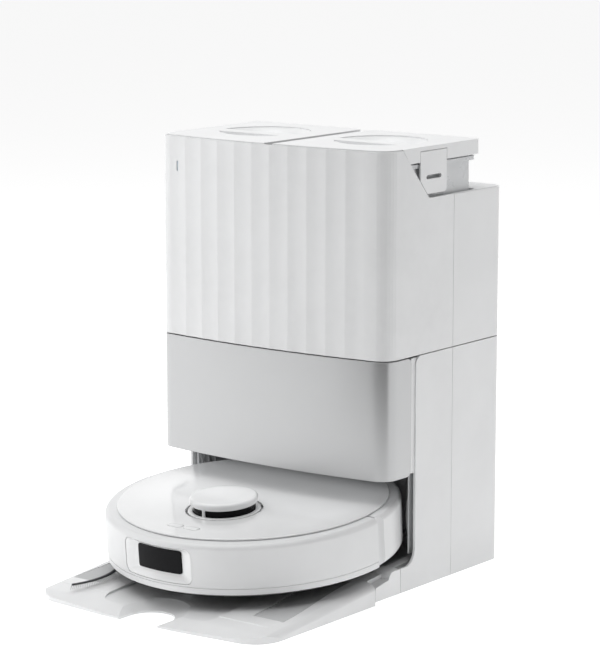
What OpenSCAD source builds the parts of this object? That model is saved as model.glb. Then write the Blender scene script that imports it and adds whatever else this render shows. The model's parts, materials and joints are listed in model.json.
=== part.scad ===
// Robot vacuum cleaner standing in its washing and emptying dock.
// Millimetres, +Z up, -Y is the front of the dock. The origin is on the floor,
// at the middle of the dock's footprint.

/* [Dock] */
// Width of the dock's tower
dock_w = 340; // [336:1:340]
// Y of the dock's rear face
dock_back = 240.4; // [239:0.1:242]
// Y of the ramp's front edge
ramp_front = -240.4; // [-242:0.1:-238]
// Height of the tank lids above the floor
dock_h = 523; // [522:1:525]
// Height of the seam between the lower tower and the tank housing
seam_z = 281.4; // [281:0.1:282]
// Height of the underside of the dust cover
cover_z = 140.6; // [140.6:0.1:142]
// How far the front face bows out
bow = 13; // [11:1:14]
// Radius of the tower's upright front corners
corner_r = 22; // [20:1:24]
// Radius of the tower's upright rear corners
rear_r = 16; // [10:1:20]
// Thickness of the tower's shells
wall = 3; // [2.6:0.1:3.4]
// Gap drawn at each seam between two shells
seam_gap = 1.2; // [0.8:0.1:1.6]

/* [Tank housing] */
// Number of upright flutes on the front
flute_n = 11; // [9:1:11]
// Width of one flute
flute_pitch = 26.5; // [24:0.5:26.5]
// X of the middle of the flutes
flute_x = -5; // [-5:0.5:0]
// Depth of one flute
flute_depth = 0.8; // [0.6:0.1:1.6]
// Height of the deck behind the tanks
deck_z = 463; // [462:0.1:463.5]
// X of the middle of the wall between the tanks
split_x = 4; // [3:0.5:5]
// Width of the gap between the two lids
lid_gap = 12; // [10:1:14]

/* [Robot] */
// Radius of the robot's bumper
robot_r = 175.6; // [175:0.1:176]
// Radius of the removable top cover
cover_r = 160.7; // [160:0.1:161]
// Height of the top cover above the wheels' ground plane
robot_h = 80; // [80:0.1:80.4]
// Slope of the ramp, and the robot's lean on it, in degrees
slope = 4.7; // [4.6:0.1:4.8]
// Y of the robot's centre on its ground plane, inside the dock
park_y = -23.9; // [-24.2:0.1:-23.9]
// Height of the robot's centre on its ground plane, inside the dock
park_z = 27.8; // [27.8:0.1:28]
// How far the bumper can be pushed in
bumper_travel = 2.2; // [1.5:0.1:2.2]
// Y of the laser turret, from the robot's centre
turret_y = -54.5; // [-56:0.5:-53]
// Radius of the laser turret's cap
turret_r = 40; // [38:0.5:41]

/* [Running gear] */
// Radius of a drive wheel
wheel_r = 35; // [34:0.5:35]
// Width of a drive wheel's tyre
wheel_w = 24; // [20:1:24]
// X of a drive wheel's middle
wheel_x = 124; // [122:1:125]
// Radius of a mop pad
mop_r = 62; // [58:1:62]
// X of a mop pad's centre
mop_x = 66; // [65:0.5:68]
// Y of a mop pad's centre
mop_y = 88; // [86:1:90]
// Radius of the main brush over its blades
brush_r = 22.8; // [22:0.1:23]
// Length of the main brush
brush_len = 168; // [160:1:170]

/* [Hidden] */
$fn = 96;
half_w = dock_w / 2;
bow_r = (half_w * half_w + bow * bow) / (2 * bow);
front_y = 3.3 - bow;
bow_y = front_y + bow_r;
seam_y = 134;
side_y = 59.3;
ledge_z = 33.5;
base_joint_y = 30.9;
ramp_joint_y = -18.8;
low_z = 4;
lid_bottom = 505.3;
flange_z = 498.4;
flange_t = 4.5;
tank_floor = 289;
tank_wall = 2.5;
tank_back = 183.5;
bay_rear = 188;
hinge_y = 188;
hinge_z = 502;
hinge_pin_r = 1.6;
hinge_bore_r = 1.65;
latch_y0 = 66.4;
latch_y1 = 119.2;
latch_z0 = 467.8;
latch_pivot_x = half_w - 2.2;
latch_pivot_z = 516;
cut_y0 = 31;
cut_z0 = 521.3;
cut_y1 = 80;
cut_z1 = 466.3;
bay_x = 158.5;
bay_back = 151.5;
bin_x0 = -88;
bin_x1 = 62;
bin_y0 = 14;
bin_y1 = 125;
brush_y = -20;
brush_z = 24.5;
wheel_y = -6;
caster_y = -128;
track_len = 146;
caster_trail = 6;
caster_r = 14;
side_hub = [-106, -114];
side_reach = 79;
button_y = -131;
button_x = [-10, 14];
stem_r = 2.5;
screw_x = 147;
lower_screws = [30, 268];
upper_screws = [312, 448];
fin_n = 3;

// ---- helpers ----

// Points of an arc, from angle a0 to a1 in n steps
function arc(c, r, a0, a1, n = 8) =
    [for (i = [0:n]) let (a = a0 + (a1 - a0) * i / n) [c[0] + r * cos(a), c[1] + r * sin(a)]];

// Points of a rectangle with round corners
function rounded(x0, y0, x1, y1, r, n = 6) =
    concat(arc([x1 - r, y0 + r], r, -90, 0, n), arc([x1 - r, y1 - r], r, 0, 90, n),
           arc([x0 + r, y1 - r], r, 90, 180, n), arc([x0 + r, y0 + r], r, 180, 270, n));

// Points of an ellipse
function ellipse(c, rx, ry, n = 48) =
    [for (i = [0:n - 1]) [c[0] + rx * cos(360 * i / n), c[1] + ry * sin(360 * i / n)]];

// The bowed front, drawn from the left side to the right side, d inside the outer skin
function tower_front(d) =
    let (cx = half_w - corner_r)
    let (cy = bow_y - sqrt(pow(bow_r - corner_r, 2) - cx * cx))
    let (lean = asin(cx / (bow_r - corner_r)))
    concat(arc([-cx, cy], corner_r - d, 180, 270 - lean, 8),
           arc([0, bow_y], bow_r - d, 270 - lean + 0.4, 270 + lean - 0.4, 24),
           arc([cx, cy], corner_r - d, 270 + lean, 360, 8));

// The same front with upright hollow flutes between sharp ridges
function fluted_front() =
    let (cx = half_w - corner_r)
    let (cy = bow_y - sqrt(pow(bow_r - corner_r, 2) - cx * cx))
    let (lean = asin(cx / (bow_r - corner_r)))
    let (step = 2 * asin(flute_pitch / 2 / bow_r))
    let (middle = 270 + asin(flute_x / bow_r))
    concat(arc([-cx, cy], corner_r, 180, 270 - lean, 8),
           [for (k = [0:flute_n - 1]) for (j = [0:5])
               let (a = middle + (k + j / 6 - flute_n / 2) * step)
               let (r = bow_r - flute_depth * sin(180 * j / 6))
               [r * cos(a), bow_y + r * sin(a)]],
           arc([0, bow_y], bow_r, middle + flute_n / 2 * step, 270 + lean - 0.2, 1),
           arc([cx, cy], corner_r, 270 + lean, 360, 8));

// The tower's plan back to a straight edge
function tower_plan(d, back) =
    concat(tower_front(d), [[half_w - d, back], [d - half_w, back]]);

// The rear shell's plan, with round rear corners
function rear_plan(d, front) =
    concat([[d - half_w, front], [half_w - d, front]],
           arc([half_w - rear_r, dock_back - rear_r], rear_r - d, 0, 90, 8),
           arc([rear_r - half_w, dock_back - rear_r], rear_r - d, 90, 180, 8));

// A block between two corners
module block(x0, x1, y0, y1, z0, z1) {
    translate([x0, y0, z0]) cube([x1 - x0, y1 - y0, z1 - z0]);
}

// An upright plate or block with this plan
module plate(points, z0, z1) {
    translate([0, 0, z0]) linear_extrude(z1 - z0) polygon(points);
}

// A shape drawn in Y and Z, pushed out along X
module along_x(x0, x1) {
    translate([x0, 0, 0]) rotate([90, 0, 90]) linear_extrude(x1 - x0) children();
}

// A shape drawn in X and Z, pushed out along Y
module along_y(y0, y1) {
    translate([0, y1, 0]) rotate([90, 0, 0]) linear_extrude(y1 - y0) children();
}

// An upright cylinder between two heights
module post(x, y, r, z0, z1) {
    translate([x, y, z0]) cylinder(r = r, h = z1 - z0);
}

// A cylinder lying along X
module axle(x0, x1, y, z, r) {
    translate([x0, y, z]) rotate([0, 90, 0]) cylinder(r = r, h = x1 - x0);
}

// A cylinder lying along Y
module axle_y(x, y0, y1, z, r) {
    translate([x, y1, z]) rotate([90, 0, 0]) cylinder(r = r, h = y1 - y0);
}

// A ring between two radii
module ring(r0, r1, z0, z1) {
    difference() {
        post(0, 0, r1, z0, z1);
        post(0, 0, r0, z0 - 1, z1 + 1);
    }
}

// The robot's own frame: its ground plane is z = 0 and its front is -Y
module parked() {
    translate([0, park_y, park_z]) rotate([slope, 0, 0]) children();
}

// Both sides of the plane x = 0
module both_sides() {
    children();
    mirror([1, 0, 0]) children();
}

// ---- ramp and base ----

// Everything below the ramp's slope, d under the wheels
module under_slope(d) {
    parked() block(-half_w, half_w, -260, 200, -80, -d);
}

module dock_base() {
    color("whitesmoke") difference() {
        union() {
            // front foot, seen between the ramp and the side walls
            intersection() {
                block(-half_w, half_w, ramp_joint_y + 0.5, base_joint_y - 0.4, low_z, 60);
                along_x(-half_w, half_w)
                    polygon(concat([[-30, 0], [40, 0], [40, ledge_z]],
                                   arc([17.4, ledge_z - 10], 10, 90, 170, 6), [[-30, 19.2]]));
            }
            intersection() {
                block(-half_w + 12, half_w - 12, ramp_joint_y + 0.5, base_joint_y - 0.4, low_z, 60);
                under_slope(0.6);
            }
            intersection() {
                block(-157.5, 157.5, base_joint_y - 1, bay_back - 0.5, low_z, 60);
                under_slope(0.6);
            }
            // floor under the rear of the tower
            plate(rear_plan(wall + 0.8, base_joint_y + 6), low_z, low_z + 5);
        }
        // well that the washing tray drops into
        parked() plate(rounded(-146, 26, 146, 162, 12), -13, 10);
        // weight-saving pockets from below
        for (x = [-140, -70, 0, 70]) {
            block(x + 2, x + 66, 37, 145, low_z - 1, low_z + 8);
            block(x + 2, x + 66, -12, 25, low_z - 1, low_z + 8);
        }
    }
}

module ramp_tray() {
    corner = 38;
    side_x = half_w;
    lip_y = ramp_front + 8;
    front_r = 1006;
    notch_y = -219;
    color("whitesmoke") difference() {
        intersection() {
            // plan: bowed front, big round corners
            plate(concat(arc([0, ramp_front + front_r], front_r, 270 - 6.5, 270 + 6.5, 8),
                         arc([side_x - corner, lip_y + corner], corner, -80, 0, 10),
                         [[side_x, ramp_joint_y], [-side_x, ramp_joint_y]],
                         arc([corner - side_x, lip_y + corner], corner, 180, 260, 10)), 0, 40);
            under_slope(0.6);
            // rolled-off sides
            parked() along_y(-260, 40)
                polygon(concat([[-side_x, -60]],
                               [for (a = [180:-15:90]) [20 - side_x + 20 * cos(a), -10.6 + 10 * sin(a)]],
                               [for (a = [90:-15:0]) [side_x - 20 + 20 * cos(a), -10.6 + 10 * sin(a)]],
                               [[side_x, -60]]));
            // rolled-off front
            along_x(-side_x, side_x)
                polygon(concat([[-19, 0], [-19, 50], [-150, 50]],
                               [[ramp_front + 44, 12.4], [ramp_front + 26, 9.6], [ramp_front + 10, 5.6],
                                [ramp_front, 2.6], [ramp_front, 0]]));
        }
        // front notch and its bevel
        post(0, notch_y, 28, -1, 40);
        block(-28, 28, -260, notch_y, -1, 40);
        translate([0, notch_y, 0]) rotate_extrude()
            polygon([[0, 2.4], [28, 2.4], [47, 11.5], [60, 30], [0, 30]]);
        along_y(-260, notch_y)
            polygon([[-60, 30], [-47, 11.5], [-28, 2.4], [28, 2.4], [47, 11.5], [60, 30]]);
        // shallow channel between the wheel tracks
        parked() plate(rounded(-82, -192, 82, 20, 20), -3.4, 10);
        // seats of the two wheel tracks
        both_sides() parked() plate(track_plan(0.3), -2.7, 10);
        // hollow underneath
        for (x = [-150, -100, -50, 0, 50, 100])
            intersection() {
                block(x + 2, x + 48, -170, -26, -1, 40);
                parked() block(-half_w, half_w, -260, 200, -80, -7);
            }
    }
}

// Plan of one wheel track: a band that leans outwards towards the front
function track_plan(d) =
    let (inner = [for (i = [0:8]) [108 - 6 * cos(180 * i / 8) - d, -6 - track_len * i / 8]])
    let (outer = [for (i = [0:8]) [149 + 7 * cos(180 * i / 8) + d, -6 - track_len * (1 - i / 8)]])
    concat(inner, outer);

module wheel_tracks() {
    rib_pitch = 5.8;
    rib_n = 25;
    first_rib_y = -6 - rib_n * rib_pitch;
    color("gainsboro") both_sides() parked() intersection() {
        plate(track_plan(0), -3, 0);
        along_x(90, 165)
            polygon(concat([[0, -2.6]], [[first_rib_y - 3, -2.6]],
                           [for (i = [0:rib_n * 2])
                               [first_rib_y + i * rib_pitch / 2, i % 2 == 0 ? -2 : -0.5]]));
        block(90, 165, first_rib_y - 5, 4.6, -3, 1);
    }
}

module wash_tray() {
    color("lightgray") parked() difference() {
        union() {
            plate(rounded(-145.5, 26.5, 145.5, 161.5, 11.5), -12.8, -9);
            difference() {
                plate(rounded(-145.5, 26.5, 145.5, 161.5, 11.5), -12.8, -0.9);
                plate(rounded(-142.5, 29.5, 142.5, 158.5, 9), -9, 10);
            }
            // scrubbing ridges under each mop pad
            for (x = [-mop_x, mop_x]) for (a = [0:60:300])
                translate([x, mop_y, 0]) rotate([0, 0, a]) block(14, 54, -2, 2, -9.5, -0.9);
            for (x = [-mop_x, mop_x]) post(x, mop_y, 16, -9.5, -0.9);
        }
        // drain slots
        for (x = [-20:10:20]) block(x - 2, x + 2, 36, 46, -20, 0);
    }
}

// ---- tower ----

module lower_shell() {
    top = seam_z - seam_gap / 2;
    foot_y = base_joint_y + 0.3;
    flange_x = bay_x + 2.6;
    color("whitesmoke") difference() {
        union() {
            both_sides() along_x(half_w - wall, half_w)
                polygon(concat([[seam_y - 0.3, low_z], [foot_y, low_z], [foot_y, ledge_z]],
                               arc([side_y - 18, ledge_z + 18], 18, -90, 0, 8),
                               arc([side_y + 10, top - 10], 10, 180, 90, 8),
                               [[seam_y - 0.3, top]]));
            // light frame behind the dust cover's ends
            both_sides() block(half_w - 5, half_w - 1.8, side_y - 7.7, side_y + 20, cover_z + 2.4, top - 1.6);
            // flanges and bulkhead between the two sides
            both_sides() block(flange_x, half_w - 2, seam_y - 9.5, seam_y - 0.3, 12, top);
            both_sides() block(flange_x, half_w - 3.5, seam_y - 9.5, 158, 12, top);
            block(-flange_x - 1, flange_x + 1, 155, 158, 12, top);
            block(-half_w + 2, half_w - 2, side_y + 14, seam_y - 0.3, top - 3, top);
            block(-half_w + 3.5, half_w - 3.5, seam_y - 5, 158, top - 3, top);
            // screw bosses for the rear cover
            for (x = [-screw_x, screw_x]) for (z = lower_screws) axle_y(x, 157, dock_back - wall - 0.3, z, 5);
        }
        for (x = [-screw_x, screw_x]) for (z = lower_screws) axle_y(x, 220, dock_back, z, 1.6);
        // ways for the dust duct
        axle_y(0, 150, 160, 213, 24);
        block(-17.5, 17.5, 150, 160, 84.5, 103.5);
    }
}

module rear_shell(z0, z1) {
    difference() {
        plate(rear_plan(0, seam_y + 0.3), z0, z1);
        plate(rear_plan(wall, seam_y - 5), z0 - 1, z1 + 1);
    }
}

module rear_cover_lower() {
    color("whitesmoke") difference() {
        rear_shell(low_z, seam_z - seam_gap / 2);
        for (x = [-screw_x, screw_x]) for (z = lower_screws) {
            axle_y(x, 220, dock_back + 1, z, 2.1);
            axle_y(x, dock_back - 1.6, dock_back + 1, z, 4.2);
        }
        // opening for the mains inlet
        along_y(dock_back - 8, dock_back + 1) polygon(rounded(103, 30, 137, 54, 4));
        // exhaust slots
        for (x = [-120:8:-72]) block(x - 1.5, x + 1.5, dock_back - 8, dock_back + 1, 60, 100);
    }
}

module rear_cover_upper() {
    color("whitesmoke") difference() {
        union() {
            rear_shell(seam_z + seam_gap / 2, deck_z - 1);
            plate(rear_plan(0, seam_y + 0.3), deck_z - wall, deck_z - 0.8);
            plate(rear_plan(0.8, seam_y + 0.3), deck_z - wall, deck_z);
        }
        for (x = [-screw_x, screw_x]) for (z = upper_screws) {
            axle_y(x, 220, dock_back + 1, z, 2.1);
            axle_y(x, dock_back - 1.6, dock_back + 1, z, 4.2);
        }
        // mouth of the tank bay
        plate(rounded(-164.5, 100, 164.5, bay_rear + 1, 8), deck_z - 10, deck_z + 1);
    }
}

module bay_liner() {
    color("dimgray") difference() {
        union() {
            both_sides() block(bay_x, bay_x + 2, side_y + 1, bay_back + 2, 44, cover_z + 2);
            block(-bay_x - 1, bay_x + 1, bay_back, bay_back + 2, 44, cover_z + 2);
            block(-bay_x - 1, bay_x + 1, 12, bay_back + 2, cover_z, cover_z + 2);
        }
        // emptying port towards the robot's dustbin
        along_y(bay_back - 1, bay_back + 3) polygon(rounded(-18, 84, 18, 104, 4));
    }
}

// Upright drying fins with curved edges on each side of the parking bay
module bay_vents() {
    fin_r = 100;
    root_x = bay_x - 0.4;
    color("darkgray") both_sides() for (i = [0:fin_n - 1]) {
        reach = 153 - 4 * i + fin_r;
        half_angle = acos((reach - root_x) / fin_r);
        along_y(64 + i * 8, 67 + i * 8)
            polygon(arc([reach, 90], fin_r, 180 - half_angle, 180 + half_angle, 10));
    }
}

module dust_box() {
    color("gainsboro") difference() {
        block(-157, 157, 12, 148, 146, 275);
        block(-154.5, 154.5, 11, 145.5, 148.5, 272.5);
        along_y(140, 150) translate([0, 213]) circle(r = 24);
    }
}

module dust_duct() {
    color("dimgray") difference() {
        union() {
            axle_y(0, 135, 158.2, 213, 23.5);
            block(-20, 20, 158.2, 198, 80, 238);
            block(-17, 17, bay_back + 2, 160, 85, 103);
        }
        axle_y(0, 134, 180, 213, 18);
        block(-17.5, 17.5, 161, 195.5, 83, 231);
        block(-14, 14, 150, 165, 87, 101);
    }
}

module suction_motor() {
    color("silver") {
        post(-95, 197, 35, 12, 96);
        post(-95, 197, 24, 96, 118);
    }
}

module water_pumps() {
    color("silver") for (x = [52, 92]) {
        post(x, 190, 16, 12, 62);
        post(x, 190, 5, 62, 74);
    }
}

module dock_contacts() {
    color("goldenrod") both_sides() block(30, 42, 145.6, bay_back, 70, 82);
}

module front_housing() {
    z0 = seam_z + seam_gap / 2;
    top = dock_h - 1.5;
    light_x = -138;
    color("whitesmoke") difference() {
        plate(concat(fluted_front(), [[half_w, seam_y - 0.3], [-half_w, seam_y - 0.3]]), z0, top);
        plate(tower_plan(wall, seam_y + 5), z0 - 1, dock_h);
        // the sides drop to the deck behind the front
        along_x(-half_w - 1, half_w + 1)
            polygon(concat([[cut_y0, dock_h + 5], [cut_y0, cut_z0]],
                           [[cut_y1, cut_z1], [cut_y1 + 4, deck_z], [200, deck_z], [200, dock_h + 5]]));
        // slot of the status light
        along_y(-8, 8) polygon(rounded(light_x - 1.4, 480, light_x + 1.4, 492.4, 1.3));
    }
}

module status_light() {
    light_x = -138;
    color("ivory") along_y(0.6, 6) polygon(rounded(light_x - 1.2, 480.2, light_x + 1.2, 492.2, 1.1));
}

module tank_bay() {
    z0 = seam_z + seam_gap / 2;
    rim = deck_z - 4.7;
    color("gainsboro") difference() {
        union() {
            plate(tower_plan(wall + 0.4, bay_rear), z0, rim);
            for (x = [-screw_x, screw_x]) for (z = upper_screws) axle_y(x, bay_rear - 1, dock_back - wall - 0.3, z, 5);
        }
        difference() {
            plate(tower_plan(wall + 2.6, bay_rear - 2), z0 + 3, rim + 1);
            block(split_x - 1.5, split_x + 1.5, -20, 200, z0, rim + 2);
        }
        for (x = [-screw_x, screw_x]) for (z = upper_screws) axle_y(x, 220, dock_back, z, 1.6);
        // seats of the two tank valves
        post(85, 60, 9, z0 - 1, z0 + 4);
        post(-80, 60, 9, z0 - 1, z0 + 4);
    }
}

module power_inlet() {
    color("black") difference() {
        along_y(214, dock_back - 0.6) polygon(rounded(103.6, 30.6, 136.4, 53.4, 3.4));
        along_y(224, dock_back + 1) polygon(rounded(110, 34.5, 130, 49.5, 5));
    }
}

module dock_feet() {
    color("dimgray") for (x = [-140, 140]) for (y = [48, 222]) post(x, y, 9, 0, low_z);
}

module dock_screws() {
    color("silver") for (x = [-screw_x, screw_x]) for (z = concat(lower_screws, upper_screws)) {
        axle_y(x, dock_back - 1.5, dock_back - 0.3, z, 3.6);
        axle_y(x, dock_back - 14, dock_back - 1.4, z, 1.6);
    }
}

// ---- dust cover and bag ----

module dust_cover() {
    top = seam_z - seam_gap / 2;
    end_y = side_y - 8.7;
    color("silver") intersection() {
        difference() {
            plate(tower_plan(0, end_y), cover_z, top);
            plate(tower_plan(wall, end_y + 5), cover_z - 1, top + 1);
        }
        along_x(-half_w - 1, half_w + 1)
            polygon(concat([[-20, cover_z]], arc([end_y - 8, cover_z + 8], 8, -90, 0, 6),
                           arc([end_y - 8, top - 8], 8, 0, 90, 6), [[-20, top]]));
    }
}

module dust_bag() {
    color("beige") difference() {
        plate(rounded(-108, 26, 108, 128, 22, 8), 158, 258);
        axle_y(0, 100, 140, 213, 16);
    }
    color("burlywood") difference() {
        block(-40, 40, 128.2, 132.2, 176, 250);
        axle_y(0, 120, 140, 213, 16);
    }
}

// ---- tanks: s is 1 for the clean tank on the right and -1 for the dirty one ----

function tank_x0(s) = s > 0 ? split_x + lid_gap / 2 + 3.5 : -half_w + 7.5;
function tank_x1(s) = s > 0 ? half_w - 7.5 : split_x - lid_gap / 2 - 3.5;
function lid_x0(s) = s > 0 ? split_x + lid_gap / 2 : -half_w;
function lid_x1(s) = s > 0 ? half_w : split_x - lid_gap / 2;

module tank(s) {
    x0 = tank_x0(s);
    x1 = tank_x1(s);
    mid = (x0 + x1) / 2;
    flange_out = 3.2;
    difference() {
        union() {
            plate(rounded(x0, 10, x1, tank_back, 12), tank_floor, lid_bottom - 0.6);
            difference() {
                plate(rounded(x0 - flange_out, 7, x1 + flange_out, hinge_y + 2.4, 13), flange_z, flange_z + flange_t);
                block(mid - 11.4, mid + 11.4, hinge_y - 3.6, hinge_y + 5, flange_z - 1, lid_bottom);
            }
            for (e = [-14, 14]) {
                block(mid + e - 2.5, mid + e + 2.5, hinge_y - 4, hinge_y + 2, flange_z + 0.2, hinge_z);
                axle(mid + e - 2.5, mid + e + 2.5, hinge_y, hinge_z, 3);
            }
            axle(mid - 14, mid + 14, hinge_y, hinge_z, hinge_pin_r);
            // valve stub under the floor
            post(s > 0 ? 85 : -80, 60, 8, tank_floor - 3, tank_floor + 1);
        }
        plate(rounded(x0 + tank_wall, 10 + tank_wall, x1 - tank_wall, tank_back - tank_wall, 6),
              tank_floor + tank_wall, dock_h);
    }
}

module lid(s) {
    x0 = lid_x0(s);
    x1 = lid_x1(s);
    mid = (tank_x0(s) + tank_x1(s)) / 2;
    oval = [s > 0 ? 88 : -84, 101];
    back = 192;
    top = dock_h;
    step = 1.6;
    difference() {
        union() {
            // skirt and top plate, narrow in front and full width behind the side cut
            intersection() {
                plate(tower_plan(wall + 0.6, back), lid_bottom, top);
                plate(rounded(x0, -20, x1, back, 12), lid_bottom, top);
            }
            intersection() {
                plate(tower_plan(0.8, back), lid_bottom, top);
                plate(rounded(x0, -20, x1, back, 12), lid_bottom, top);
                along_x(-half_w, half_w)
                    polygon([[cut_y0 + step, top], [cut_y0 + step, cut_z0],
                             [cut_y1, cut_z0 - 56], [back, cut_z0 - 56], [back, top]]);
            }
        }
        // hollow underside
        difference() {
            intersection() {
                plate(tower_plan(wall + 3.4, back - 3), lid_bottom - 1, top - 4);
                plate(rounded(x0 + 3, -20, x1 - 3, back - 3, 10), lid_bottom - 1, top - 4);
            }
            plate(ellipse(oval, 58, 59.5), lid_bottom + 1.4, top);
        }
        // oval grip recess
        plate(ellipse(oval, 55, 56.5), lid_bottom + 4, top + 1);
        // pocket of the side latch
        mirror([s > 0 ? 0 : 1, 0, 0]) {
            block(half_w - 4.2, half_w + 1, latch_y0 - 0.6, latch_y1 + 0.6, lid_bottom - 1, latch_pivot_z + 2.2);
            axle_y(latch_pivot_x, latch_y0 - 2.6, latch_y1 + 2.6, latch_pivot_z, 1.05);
        }
    }
    // grip bar across the recess
    intersection() {
        block(oval[0] - 56, oval[0] + 56, 70, 92, top - 7, top);
        plate(ellipse(oval, 55.5, 57), top - 8, top);
    }
    // hinge lug
    difference() {
        union() {
            axle(mid - 10.8, mid + 10.8, hinge_y, hinge_z, 2.9);
            block(mid - 10.8, mid + 10.8, hinge_y - 1.5, hinge_y + 1.5, hinge_z + 1, top - 3);
        }
        axle(mid - 12, mid + 12, hinge_y, hinge_z, hinge_bore_r);
    }
}

// Side latch: a plate with a finger slot, hung on two pins
module latch(s) {
    mirror([s > 0 ? 0 : 1, 0, 0]) {
        difference() {
            union() {
                along_x(half_w - 2.8, half_w - 0.8)
                    polygon(concat([[latch_y0, latch_pivot_z + 1.5]],
                                   [[latch_y0, 483.5], [latch_y0 + 14, latch_z0]],
                                   arc([latch_y1 - 5, latch_z0 + 5], 5, -90, 0, 6),
                                   [[latch_y1, latch_pivot_z + 1.5]]));
                axle_y(latch_pivot_x, latch_y0, latch_y1, latch_pivot_z, 1.5);
                axle_y(latch_pivot_x, latch_y0 - 2.4, latch_y1 + 2.4, latch_pivot_z, 1);
                block(half_w - 5.2, half_w - 2, 82, 105, flange_z - 2.1, flange_z - 0.5);
            }
            along_x(160, half_w + 2) polygon(rounded(78.2, 484.8, 108.5, 489.7, 2.4));
        }
    }
}

module clean_tank() { color("silver") tank(1); }
module dirty_tank() { color("silver") tank(-1); }
module clean_lid() { color("whitesmoke") lid(1); }
module dirty_lid() { color("whitesmoke") lid(-1); }
module clean_latch() { color("whitesmoke") latch(1); }
module dirty_latch() { color("whitesmoke") latch(-1); }

// ---- robot body ----

module robot_chassis() {
    color("lightgray") parked() difference() {
        union() {
            post(0, 0, 160.6, 12, 15);
            // tunnel over the main brush
            block(-92, 92, brush_y - 28, brush_y + 28, 12, 52);
            // socket of the caster
            post(0, caster_y, 24.5, 12, 40);
        }
        block(-88.5, 88.5, brush_y - 24.5, brush_y + 24.5, 0, 49);
        axle(-90.8, 90.8, brush_y, brush_z, 3.05);
        post(0, caster_y, 22.5, 0, 35);
        post(0, caster_y, 5.05, 0, 60);
        both_sides() block(108, 141, wheel_y - 40, wheel_y + 40, 0, 30);
        both_sides() post(mop_x, mop_y, 8, 0, 30);
        post(side_hub[0], side_hub[1], 5.6, 0, 30);
    }
}

module robot_shell() {
    color("white") parked() difference() {
        union() {
            // inner wall behind the bumper, and the deck under the cover
            ring(161, 166, 15, 73.5);
            post(0, 0, 163, 71, 73.5);
            // rear half of the outer body
            intersection() {
                rotate_extrude()
                    polygon(concat([[165, 16]], arc([164.4, 26], 10, -75, 0, 6),
                                   arc([167.4, 70.4], 7, 0, 75, 6),
                                   [[158, 77.4], [158, 75.4], [161.5, 75.4], [161.5, 73], [165, 73]]));
                block(-200, 200, 9.8, 200, 0, 100);
            }
        }
        block(bin_x0 - 3, bin_x1 + 3, bin_y0 - 3, bin_y1 + 3, 60, 100);
        post(0, turret_y, 33, 60, 100);
        for (x = button_x) post(x, button_y, 3, 60, 100);
        // valley beside the bumper's ends
        both_sides() post(183, 12, 14, -5, 100);
    }
}

// Rounded outline of the sensor opening, d outside its rim
function sensor_plan(x0, z0, x1, z1, r, d) = rounded(x0 - d, z0 - d, x1 + d, z1 + d, r + d);

module bumper() {
    color("white") parked() difference() {
        intersection() {
            rotate_extrude()
                polygon(concat([[171.5, 18], [173.8, 18]], arc([173.8, 19.4], 1.4, -60, 0, 3),
                               [[175.3, 25.2], [174.6, 25.4], [174.6, 26.1], [robot_r, 26.6]],
                               arc([robot_r - 7, 70.4], 7, 0, 80, 7),
                               [[158, 77.4], [158, 75.2], [171.5, 75.2]]));
            block(-200, 200, -200, 7, 0, 100);
        }
        along_y(-200, -100) polygon(sensor_plan(-58, 28, 44, 70.5, 9, 0));
    }
}

module sensor_bezel() {
    color("white") parked() difference() {
        union() {
            intersection() {
                ring(170, 173.6, 20, 76);
                along_y(-200, -100) polygon(sensor_plan(-58, 28, 44, 70.5, 9, -0.3));
            }
            intersection() {
                ring(168.8, 171.2, 20, 74);
                along_y(-200, -100) polygon(sensor_plan(-58, 28, 44, 70.5, 9, 2.5));
            }
        }
        along_y(-200, -100) polygon(sensor_plan(-36, 38.5, 28.5, 66, 3, 0));
    }
}

module sensor_window() {
    color("black") parked() intersection() {
        ring(169.2, 172.4, 20, 76);
        along_y(-200, -100) polygon(sensor_plan(-36, 38.5, 28.5, 66, 3, -0.15));
    }
}

module top_cover() {
    color("white") parked() difference() {
        rotate_extrude()
            polygon([[0, robot_h - 3], [cover_r - 6, robot_h - 3], [cover_r - 6, robot_h - 2.1],
                     [cover_r, robot_h - 2.1], [cover_r, robot_h - 0.8], [cover_r - 0.8, robot_h],
                     [0, robot_h]]);
        post(0, turret_y, 45.5, 70, 100);
        for (x = button_x)
            plate(rounded(x - 10.4, button_y - 5.9, x + 10.4, button_y + 5.9, 5.8), 70, 100);
    }
}

module turret_cap() {
    top = 97;
    skirt_z = 88.2;
    color("white") parked() translate([0, turret_y, 0]) {
        rotate_extrude()
            polygon(concat([[0, 90.4], [36.6, 90.4], [36.6, skirt_z], [turret_r - 0.6, skirt_z]],
                           arc([turret_r - 4, top - 4], 4, 0, 90, 6), [[0, top]]));
        rotate_extrude() polygon([[36.6, 73.5], [43, 73.5], [43, 79], [41.8, 80.2], [36.6, 80.2]]);
        for (a = [270, 30, 150]) rotate([0, 0, a]) intersection() {
            ring(36.6, 39, 80, skirt_z + 0.1);
            block(30, 45, -2.2, 2.2, 79.5, 91);
        }
    }
}

module turret_window() {
    color("black") parked() translate([0, turret_y, 0]) ring(34, 36.3, 73.6, 90.3);
}

module lidar_head() {
    color("dimgray") parked() translate([0, turret_y, 0]) difference() {
        union() {
            post(0, 0, 30, 76, 89.4);
            post(0, 0, 12, 62, 76);
        }
        block(8, 31, -6, 6, 80, 87);
    }
}

module button(x) {
    plate(rounded(x - 10, button_y - 5.5, x + 10, button_y + 5.5, 5.4), 75.4, robot_h + 0.5);
    post(x, button_y, stem_r, 68, 76);
}

module power_button() { color("white") parked() button(button_x[0]); }
module home_button() { color("white") parked() button(button_x[1]); }

// ---- robot inside ----

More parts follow.
